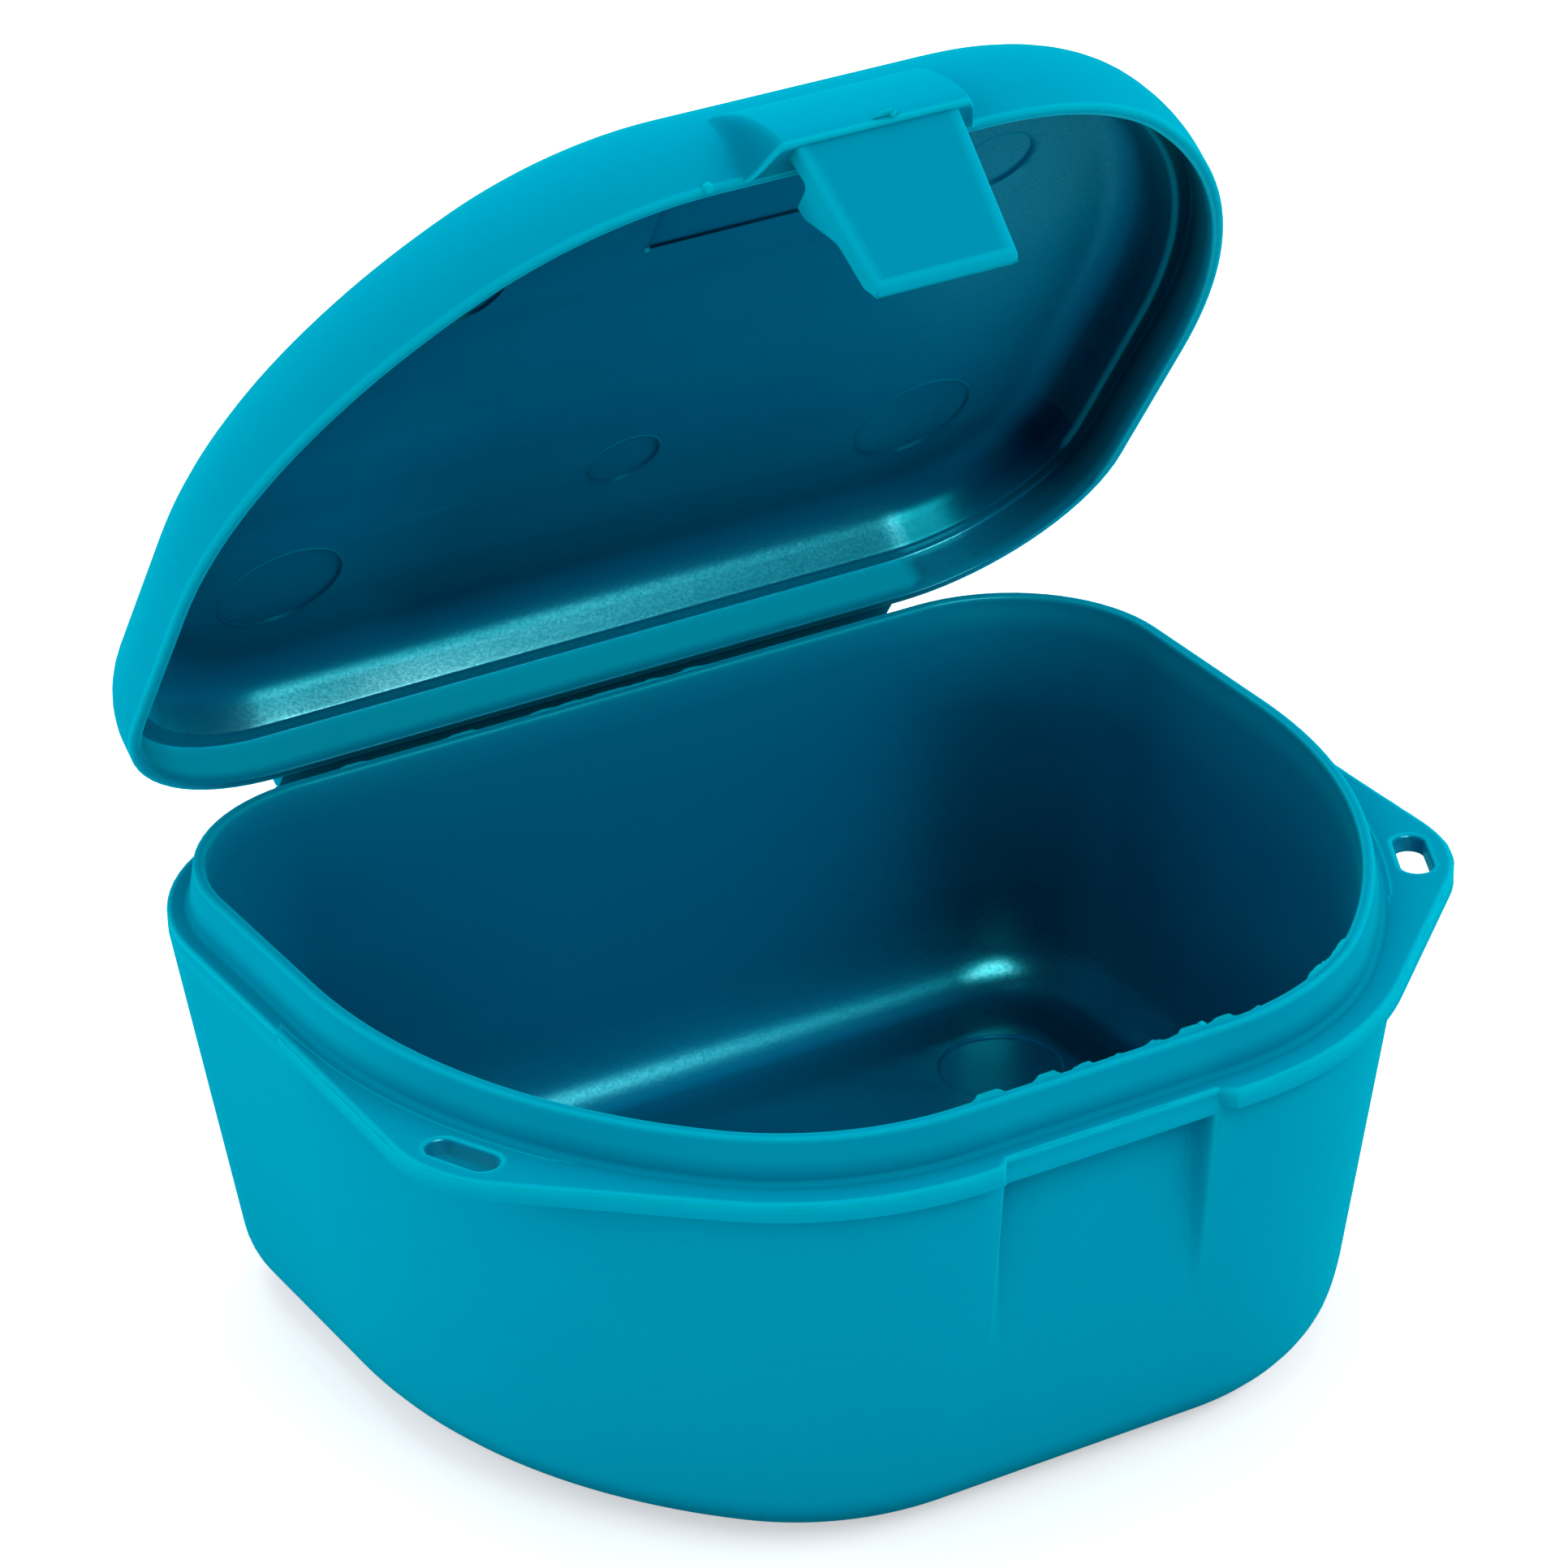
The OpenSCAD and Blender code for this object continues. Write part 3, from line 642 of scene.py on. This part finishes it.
def makeLid():
    # painted light on the step and rim edges
    corners = [
        (lid["innerCore"], lid["innerTop"], 0, 1, 0),
        (lid["stepIn"] - lid["innerLean"], lid["innerTop"], lid["innerRadius"], 1, 0),
        (lid["stepIn"], lid["step"], 0.25, 0.9, 0.25),
        (lid["mouth"], lid["step"], 0.2, 0.8, 0),
        (lid["mouth"], lid["rim"] + 1.0, 0, 0.8, 0),
        (lid["mouth"], lid["rim"], 0.15, 0.3, 0.7),
        (lid["out"], lid["rim"], 0.25, 0, 0.6),
        (lid["out"], lid["rim"] + 1.3, 0, 0, 0),
        (lid["out"], lid["top"], lid["domeRadius"], 0, 0),
        (lid["core"], lid["top"], 0, 0, 0),
    ]
    bm = bmesh.new()
    edges = drawProfile(bm, corners)
    bmesh.ops.translate(bm, verts=bm.verts, vec=(0, halfD, 0))
    edges = roundOutline(bm, edges)
    carry(bm, edges, (-frontC.x, 0, 0))
    closeHalf(bm)
    innerLayer, paintedLightLayer = bm.verts.layers.float["inner"], bm.verts.layers.float["paintedLight"]
    dimLayer, mattLayer = bm.verts.layers.float.new("dim"), bm.verts.layers.float.new("matt")
    lightFrom, lightRun, lightX, mouthPaintedLight, lightDim, lightShare = lid["mouthLight"]
    topRun, rimRun, awayMatt = lid["awayDepth"]
    glowLow, glowHigh, glow, glowFall = lid["awayPaintedLight"]
    highMatt, lowShine, rightMatt, endMatt = lid["shine"]
    for v in bm.verts:
        up = v.co.z - lid["rim"]
        mouth = 0.5 < up and v.co.z < lid["step"] - 0.1
        if mouth and v[innerLayer] and v.co.y > backC.y and v.co.x < lightX:
            share = ramp(v.co.y - backC.y, lightFrom, lightRun)  # the back of the mouth faces the light
            v[innerLayer] *= 1 - lightShare * share
            v[paintedLightLayer], v[dimLayer] = mouthPaintedLight * share, lightDim * (1 - share)
        elif v[innerLayer]:  # the right side turns away from it
            if v.co.y > backC.y + 3:
                v[paintedLightLayer] = 0
            away = ramp(v.co.x, *lid["awayX"]) * (1 - ramp(v.co.y - backC.y, *lid["awayY"]))
            deep = min(1, (lid["innerTop"] - v.co.z) / topRun, max(0, up / rimRun))
            v[dimLayer], v[mattLayer] = away * deep, awayMatt * away * deep
            if v.co.z > lid["step"] + 0.1 and v.co.y > backC.y:  # the back shines most at its left
                low, left = 1 - ramp(v.co.z, *lid["shineUp"]), 1 - ramp(v.co.x, *lid["shineLeft"])
                right, end = ramp(v.co.x, *lid["shineRight"]), ramp(v.co.x, *lid["shineEnd"])
                v[mattLayer] += (highMatt - lowShine * low) * left + rightMatt * right + endMatt * end
            # painted light just above the rim on the side turned away
            if glowLow < up < glowHigh:
                v[paintedLightLayer] = max(v[paintedLightLayer], away * (glow - glowFall * up))
            # painted shade: the mouth there takes more of the darker inside
            if v.co.z < lid["step"] + 0.1:
                v[innerLayer] += (1 - v[innerLayer]) * min(1, v[dimLayer])
    share, inside, radius = lid["frontMark"]
    front = sideC + ray(-share * sideTurn) * (lip["sideRadius"] - inside)
    rounds = ((backC, lid["markRadius"]), (front, radius))
    marks = [markLoop(bm, k * p.x, p.y, r, lid["innerTop"]) for k in (-1, 1) for p, r in rounds]
    marks.append(markLoop(bm, 0, halfD - lid["gate"][0], lid["gate"][1], lid["innerTop"]))
    wide, deep, inset = lid["pad"]
    marks.append(markLoop(bm, 0, inset + deep / 2 - halfD, 1, lid["innerTop"], (wide, deep)))
    sinkMarks(bm, lid["innerTop"], marks, *lid["markSink"])
    alongX, alongY = lid["shadeLines"]
    lines = [((x, 0, 0), (1, 0, 0)) for x in alongX] + [((0, y, 0), (0, 1, 0)) for y in alongY]
    for spot, across in lines:  # lines for an even shade across the flat
        bmesh.ops.bisect_plane(bm, geom=bm.verts[:] + bm.edges[:] + bm.faces[:], dist=0.001,
                               plane_co=spot, plane_no=across)
    shade, shadeFall, shadeRun, leftShade, leftX = lid["flatShade"]
    flatMatt, mattFall, mattRun = lid["flatMatt"]
    for v in bm.verts:
        fade = min(1, 1 - (lid["innerTop"] - v.co.z) / lid["fade"])
        if v[innerLayer] and fade > 0:
            low = ramp(v.co.y, *lid["flatLow"])
            dim = shade + shadeFall * max(-1, min(1, v.co.x / shadeRun))
            dim += low * (0 if v.co.x > leftX else leftShade)
            matt = flatMatt + mattFall * (1 - low) * ramp(v.co.x, 0, mattRun)
            v[dimLayer] = max(v[dimLayer], dim * fade)
            v[mattLayer] = max(v[mattLayer], v[mattLayer] + (matt - v[mattLayer]) * fade)
    bmesh.ops.holes_fill(bm, edges=[e for e in bm.edges if e.is_boundary], sides=0)
    piece = finishPiece(bm, "lidBody", "lid", casePlastic, swing)
    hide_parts("lid_shell")


# boss on the lid front, blended into the dome with flared flanks
boss = {
    "edge": 5.4,
    "radius": 11.8,
    "slope": radians(22),
    "flat": 6.75,
    "flare": 1.75,
    "flareSteps": 10,
    "lipRadius": 0.25,
    "hang": 0.5,
    "under": (1.0, 2.2),  # flat part of the underside
    "rows": (0.55, 0.45, 13),  # first height, gap, count
    "back": (36.0, 1.05, 33.2),  # top, distance in, low
    "flankShade": 0.6,
}


def lidOutAt(z):
    centre = lid["top"] - lid["domeRadius"]
    if z <= centre:
        return lid["out"]
    return lid["out"] - lid["domeRadius"] + sqrt(max(0, lid["domeRadius"] ** 2 - (z - centre) ** 2))


def makeBoss():
    bm = bmesh.new()
    radius = boss["radius"]
    centreY, centreZ = boss["edge"] - radius * cos(boss["slope"]), lid["rim"] - radius * sin(boss["slope"])
    under = lid["rim"] + 0.02
    # painted shade on the underside, painted light on the lower edge
    corners = [(across, under, 0, 0.4, 0) for across in boss["under"]]
    corners.append((boss["edge"] - 0.02, under - boss["hang"], boss["lipRadius"], 0, 0.7))
    first, gap, count = boss["rows"]
    for k in range(count):
        z = lid["rim"] + first + gap * k
        corners.append((centreY + sqrt(radius ** 2 - (z - centreZ) ** 2), z, 0, 0, 0))
    backTop, backIn, backLow = boss["back"]  # the closed back lies inside the lid's wall
    corners += [(lidOutAt(backTop + 0.2) - 0.4, backTop, 0, 0, 0), (backIn, backLow, 0, 0, 0), corners[0]]
    drawProfile(bm, corners, 4)
    bmesh.ops.remove_doubles(bm, verts=bm.verts, dist=0.001)
    edges = list(bm.edges)
    bmesh.ops.scale(bm, vec=(1, -1, 1), verts=bm.verts)
    bmesh.ops.translate(bm, verts=bm.verts, vec=(0, -halfD, 0))
    fullLayer, hangLayer = bm.verts.layers.float.new("full"), bm.verts.layers.float.new("hang")
    for v in bm.verts:
        v[fullLayer], v[hangLayer] = -halfD - v.co.y, max(0, under - v.co.z)
    edges = carry(bm, edges, (boss["flat"], 0, 0))
    for k in range(1, boss["flareSteps"] + 1):
        edges = carry(bm, edges, (boss["flare"] / boss["flareSteps"], 0, 0))
        t = 1 - k / boss["flareSteps"]
        keep, low = t * t * (3 - 2 * t), 1 - (1 - t) ** 4
        for v in vertsOf(edges):
            if v[hangLayer]:
                v.co.z = under - v[hangLayer] * low
            base = lidOutAt(v.co.z) - 0.06
            if v[fullLayer] > base:
                v.co.y = -halfD - (base + (v[fullLayer] - base) * keep)
    closeHalf(bm)
    bmesh.ops.holes_fill(bm, edges=[e for e in bm.edges if e.is_boundary], sides=0)
    dimLayer = bm.verts.layers.float.new("dim")
    for v in bm.verts:  # the left flank turns from the light
        v[dimLayer] = boss["flankShade"] * sin(pi * ramp(-v.co.x, boss["flat"], boss["flare"]))
    piece = finishPiece(bm, "latchBoss", "lid", casePlastic, swing)
    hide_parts("latch_boss")


# snap tab with its hook, hanging from the boss
tab = {
    "outer": 5.1,
    "thick": 1.6,
    "tipThick": 1.4,
    "lean": 0.9,
    "top": 30.28,
    "tip": 18.45,
    "halfRoot": 6.05,
    "halfTip": 5.2,
    "hookOff": 1.25,
    "hookTop": 27.4,
    "hookNose": 26.3,
    "rampEnd": 23.1,
    "edge": 0.34,
    "frontFrom": 2.6,
    "litWide": 0.7,
    "lit": 0.3,
    "faceShade": 0.26,
}


def makeTab():
    bm = bmesh.new()
    tipOut = tab["outer"] - tab["lean"]
    # the back and the hook take some of the inside's polish and painted shade
    corners = [
        (tab["outer"] - 0.8, tab["top"], 0, 0, 0.2),
        (tab["outer"], tab["top"], 0.7, 0, 0.2),
        (tipOut + 0.06, tab["tip"] + 0.9, 0, 0, 0.1),
        (tipOut, tab["tip"], 0.55, 0, 0.45),
        (tipOut - 0.75, tab["tip"], 0.3, 0, 0.35),
        (tipOut - tab["tipThick"], tab["tip"] + 1.2, 0.5, 0.1, 0.2),
        (tipOut - tab["tipThick"] + 0.16, tab["rampEnd"], 2.0, 0.2, 0),
        (tab["hookOff"], tab["hookNose"], 0.4, 0.2, 0),
        (tab["hookOff"], tab["hookTop"], 0.3, 0.2, 0),
        (tab["outer"] - tab["thick"], tab["hookTop"], 0.4, 0.2, 0),
        (tab["outer"] - tab["thick"], tab["top"], 0.7, 0.2, 0.2),
        (tab["outer"] - 0.8, tab["top"], 0, 0, 0.2),
    ]
    drawProfile(bm, corners)
    bmesh.ops.remove_doubles(bm, verts=bm.verts, dist=0.001)
    bmesh.ops.scale(bm, vec=(1, -1, 1), verts=bm.verts)
    bmesh.ops.translate(bm, verts=bm.verts, vec=(-tab["halfRoot"], -halfD, 0))
    start = list(bm.edges)
    end = carry(bm, start, (2 * tab["halfRoot"], 0, 0))
    bmesh.ops.contextual_create(bm, geom=start)
    bmesh.ops.contextual_create(bm, geom=end)
    for v in bm.verts:
        down = ramp(-v.co.z, -lid["rim"], lid["rim"] - tab["tip"])
        v.co.x *= 1 + (tab["halfTip"] / tab["halfRoot"] - 1) * down
    bmesh.ops.recalc_face_normals(bm, faces=bm.faces)
    rim = [e for e in bm.edges if any(len(f.verts) > 8 for f in e.link_faces)]
    bmesh.ops.bevel(bm, geom=rim, offset=tab["edge"], segments=3, profile=0.5, affect="EDGES", material=-1,
                    clamp_overlap=True)
    bmesh.ops.recalc_face_normals(bm, faces=bm.faces)
    innerLayer, paintedLightLayer = bm.verts.layers.float["inner"], bm.verts.layers.float["paintedLight"]
    dimLayer = bm.verts.layers.float.new("dim")
    taper = (tab["halfRoot"] - tab["halfTip"]) / (lid["rim"] - tab["tip"])
    guard = tab["halfRoot"] - tab["edge"] - tab["litWide"]
    for k in (-1, 1):
        bmesh.ops.bisect_plane(bm, geom=bm.verts[:] + bm.edges[:] + bm.faces[:], dist=0.001,
                               plane_co=(k * guard, 0, lid["rim"]), plane_no=(k, 0, -taper))
    for v in bm.verts:
        edgeAt = guard - taper * (lid["rim"] - v.co.z)
        plain = abs(v.co.x) < edgeAt + 0.01 and v.co.z > tab["tip"] + 0.85
        front = v.co.y < -halfD - tab["frontFrom"]
        v[paintedLightLayer] = tab["lit"] if front and not plain else 0
        if front:
            v[innerLayer], v[dimLayer] = 0, tab["faceShade"] if plain else 0
    piece = finishPiece(bm, "latchTab", "latch", casePlastic, swing)
    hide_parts("latch_tab")


# moulding flash: thin ragged fins on the edges, and small lumps where it gathers
flash = {
    "step": 0.16,
    "thick": 0.07,
    "lit": 0.8,
    "sharp": 80,
    "lumpy": (0.45, 1.6),  # depth, pitch
    "plates": (0.45, 2.4),  # pitch, height
    "teeth": (2.6, 0.3),  # pitch, height
    "flangeIn": 0.06,
    "lipRun": (-9.0, 0.75, 0.42),  # start x, turn, height
    "lipBurr": (8.6, -30.9, 32.7, 0.3),  # a lump is x, y, z, radius
    "backRun": (-22.0, 8.0, 0.26),  # from x, to x, height
    "catchRun": (-7.6, 7.8, 0.13),
    "flangeRun": 0.12,
    "flangeNub": (-32.2, -22.2, 29.25, 0.24),
    "bossRun": (-1.6, 1.8, 0.55),
    "bossNub": (1.2, -37.1, 29.98, 0.30),
    "rimNub": (-11.0, -33.45, 30.05, 0.34),
    "padNub": (-6.45, -14.7, 37.16, 0.2),
}


def ragged(place, height):
    (platePitch, plateHigh), (toothPitch, toothHigh) = flash["plates"], flash["teeth"]
    coarse = noise.noise(Vector((place.x * platePitch, place.y * platePitch, 3.1)))
    fine = noise.noise(Vector((place.x * toothPitch, place.y * toothPitch, 8.3)))
    return height * min(1, max(0.05, 0.4 + plateHigh * coarse + toothHigh * fine))


def makeFin(name, body, draw, level, height, lean, place=None):
    bm = bmesh.new()
    bm.verts.layers.float.new("inner")
    paintedLightLayer = bm.verts.layers.float.new("paintedLight")
    draw(bm)
    bmesh.ops.translate(bm, verts=bm.verts, vec=(0, 0, level))
    while True:  # split the long straights so that the fin can be ragged
        long = [e for e in bm.edges if e.calc_length() > flash["step"]]
        if not long:
            break
        bmesh.ops.subdivide_edges(bm, edges=long, cuts=1)
    top = carry(bm, bm.edges[:], (0, 0, 0))
    for v in vertsOf(top):
        v.co += Vector(lean) * ragged(v.co, height)
    bm.normal_update()
    copied = bmesh.ops.extrude_face_region(bm, geom=bm.faces[:], use_keep_orig=True)["geom"]
    for v in [g for g in copied if isinstance(g, bmesh.types.BMVert)]:
        v.co += v.normal * flash["thick"]
    for v in bm.verts:
        v[paintedLightLayer] = flash["lit"]
    finishPiece(bm, name, body, casePlastic, place, flash["sharp"])


def makeLump(name, body, x, y, z, radius, place=None):
    bm = bmesh.new()
    bm.verts.layers.float.new("inner")
    paintedLightLayer = bm.verts.layers.float.new("paintedLight")
    bmesh.ops.create_icosphere(bm, subdivisions=3, radius=radius)
    depth, pitch = flash["lumpy"]
    for v in bm.verts:
        v.co *= 1 + depth * noise.noise(v.co / radius * pitch + Vector((x, y, 0)))
        v[paintedLightLayer] = flash["lit"]
    bmesh.ops.translate(bm, verts=bm.verts, vec=(x, y, z))
    finishPiece(bm, name, body, casePlastic, place, flash["sharp"])


def lineX(bm, x0, x1, y):
    stretchTo(bm, bm.verts.new((x0, y, 0)), Vector((x1, y, 0)))


def lipEdge(bm):
    start = bm.verts.new((flash["lipRun"][0], -halfD + 0.6, 0))
    tip = stretchTo(bm, start, Vector((frontC.x, -halfD + 0.6, 0)))
    arcTo(bm, tip, frontC, flash["lipRun"][1], 40)


def rightEdge(bm):
    flangeEdge(bm, 40)
    bmesh.ops.translate(bm, verts=bm.verts, vec=(0, flash["flangeIn"], 0))


def leftEdge(bm):
    rightEdge(bm)
    bmesh.ops.scale(bm, vec=(-1, 1, 1), verts=bm.verts)


def makeFlash():
    shelf, lipTop = tub["shelf"], tub["lipTop"]
    makeFin("lipFlash", "base", lipEdge, lipTop - 0.06, flash["lipRun"][2], (0, 0.35, 1))
    x0, x1, high = flash["backRun"]
    backLine = lambda bm: lineX(bm, x0, x1, halfD - 0.3)
    makeFin("backFlash", "base", backLine, lipTop - 0.05, high, (0, 0, 1))
    c0, c1, catchHigh = flash["catchRun"]
    catchLine = lambda bm: lineX(bm, c0, c1, -halfD - tub["wallOut"] + 0.1)
    makeFin("catchFlash", "base", catchLine, shelf - 0.07, catchHigh, (0, -0.4, 1))
    makeFin("leftFlash", "base", leftEdge, shelf - 0.20, flash["flangeRun"], (0, -0.8, 0.6))
    makeFin("rightFlash", "base", rightEdge, shelf - 0.20, flash["flangeRun"], (0, -0.8, 0.6))
    makeLump("lipBurr", "base", *flash["lipBurr"])
    makeLump("flangeNub", "base", *flash["flangeNub"])
    b0, b1, bossHigh = flash["bossRun"]
    bossLine = lambda bm: lineX(bm, b0, b1, -halfD - boss["edge"] + 0.25)
    makeFin("bossFlash", "lid", bossLine, lid["rim"] + 0.1, bossHigh, (0, -1, 0.2), swing)
    makeLump("bossNub", "lid", *flash["bossNub"], swing)
    makeLump("rimNub", "lid", *flash["rimNub"], swing)
    makeLump("padNub", "lid", *flash["padNub"], swing)


makeTub()
makeFlange("rightFlange", "right_flange", 1)
makeFlange("leftFlange", "left_flange", -1)
makeLid()
makeBoss()
makeTab()
makeFlash()

# pale floor, even white surroundings and soft lamps; a lamp is x, y, z, wide, tall, power
studio = {
    "floorHalf": 0.8,
    "floor": (0.90, 0.90, 0.90, 1),
    "floorGloss": (0.36, 0.36, 0.36, 1),
    "floorLift": 0.50,
    "sky": 0.42,
    "skyGloss": 0.10,
    "top": (0.10, 0.30, 0.85, 0.80, 0.60, 3.9),
    "front": (0.42, -0.56, 0.68, 0.90, 0.20, 3.1),
    "back": (-0.62, 0.55, 0.35, 0.60, 0.50, 2.0),
    "left": (-0.84, 0.05, 0.20, 0.40, 0.40, 1.0),
    "right": (0.80, 0.10, 0.25, 0.40, 0.40, 1.1),
    "gleam": (-0.02, -0.67, 0.57, 0.68, 0.42, 20.0),
}
world = bpy.data.worlds.new("surround")
bpy.context.scene.world = world
world.use_nodes = True
sky = Sock(world.node_tree, None)
seen = sky.get("ShaderNodeLightPath", 0)
gloss = sky.get("ShaderNodeLightPath", 3)
plain = world.node_tree.nodes["Background"]
plain.inputs["Color"].default_value = (1, 1, 1, 1)
glow = seen * (1 - studio["sky"]) - gloss * (studio["sky"] - studio["skyGloss"]) + studio["sky"]
world.node_tree.links.new(glow.socket, plain.inputs["Strength"])

floorMesh = bmesh.new()
bmesh.ops.create_grid(floorMesh, x_segments=2, y_segments=2, size=studio["floorHalf"])
floorData = bpy.data.meshes.new("floor")
floorMesh.to_mesh(floorData)
floorMesh.free()
floorObj = bpy.data.objects.new("floor", floorData)
bpy.context.scene.collection.objects.link(floorObj)
floorMat = bpy.data.materials.new("paleFloor")
floorMat.use_nodes = True
paper = floorMat.node_tree.nodes["Principled BSDF"]
ground = Sock(floorMat.node_tree, None)
mirrored = ground.get("ShaderNodeLightPath", 3).blend(studio["floor"], studio["floorGloss"])
floorMat.node_tree.links.new(mirrored.socket, paper.inputs["Base Color"])
paper.inputs["Roughness"].default_value = 0.9
paper.inputs["Specular IOR Level"].default_value = 0.0
paper.inputs["Emission Strength"].default_value = studio["floorLift"]
lift = ground.get("ShaderNodeLightPath", 0).blend((0, 0, 0, 1), (1, 1, 1, 1))
floorMat.node_tree.links.new(lift.socket, paper.inputs["Emission Color"])
floorData.materials.append(floorMat)


def softLamp(name, x, y, z, wide, tall, power):
    data = bpy.data.lights.new(name, "AREA")
    data.shape, data.size, data.size_y, data.energy = "RECTANGLE", wide, tall, power
    lamp = bpy.data.objects.new(name, data)
    lamp.location = (x, y, z)
    lamp.rotation_euler = (Vector((0, 0, 0.03)) - lamp.location).to_track_quat("-Z", "Y").to_euler()
    bpy.context.scene.collection.objects.link(lamp)
    return lamp


for lampName in ("top", "front", "back", "left", "right", "gleam"):
    lamp = softLamp(lampName, *studio[lampName])
    lamp.visible_glossy = lampName == "gleam"  # this one makes the highlights, the others the even light
    lamp.visible_diffuse = not lamp.visible_glossy

# camera at the photograph's angle
view = {"azimuth": radians(-29.69), "elevation": radians(27.76), "roll": radians(-1.58), "lens": 147.5,
        "place": (-0.19229, -0.33003, 0.24028), "shift": (-0.0015, 0.0003)}
az, el, roll = view["azimuth"], view["elevation"], view["roll"]
back = Vector((sin(az) * cos(el), -cos(az) * cos(el), sin(el)))
right = Vector((cos(az), sin(az), 0))
up = back.cross(right)
right, up = right * cos(roll) + up * sin(roll), up * cos(roll) - right * sin(roll)
camData = bpy.data.cameras.new("view")
camData.lens, camData.sensor_width = view["lens"], 36.0
camData.shift_x, camData.shift_y = view["shift"]
camera = bpy.data.objects.new("view", camData)
camera.matrix_world = Matrix((
    (right.x, up.x, back.x, view["place"][0]),
    (right.y, up.y, back.y, view["place"][1]),
    (right.z, up.z, back.z, view["place"][2]),
    (0, 0, 0, 1),
))
bpy.context.scene.collection.objects.link(camera)
bpy.context.scene.camera = camera
bpy.context.scene.view_settings.view_transform = "Standard"
print("stage, lamps and camera set")
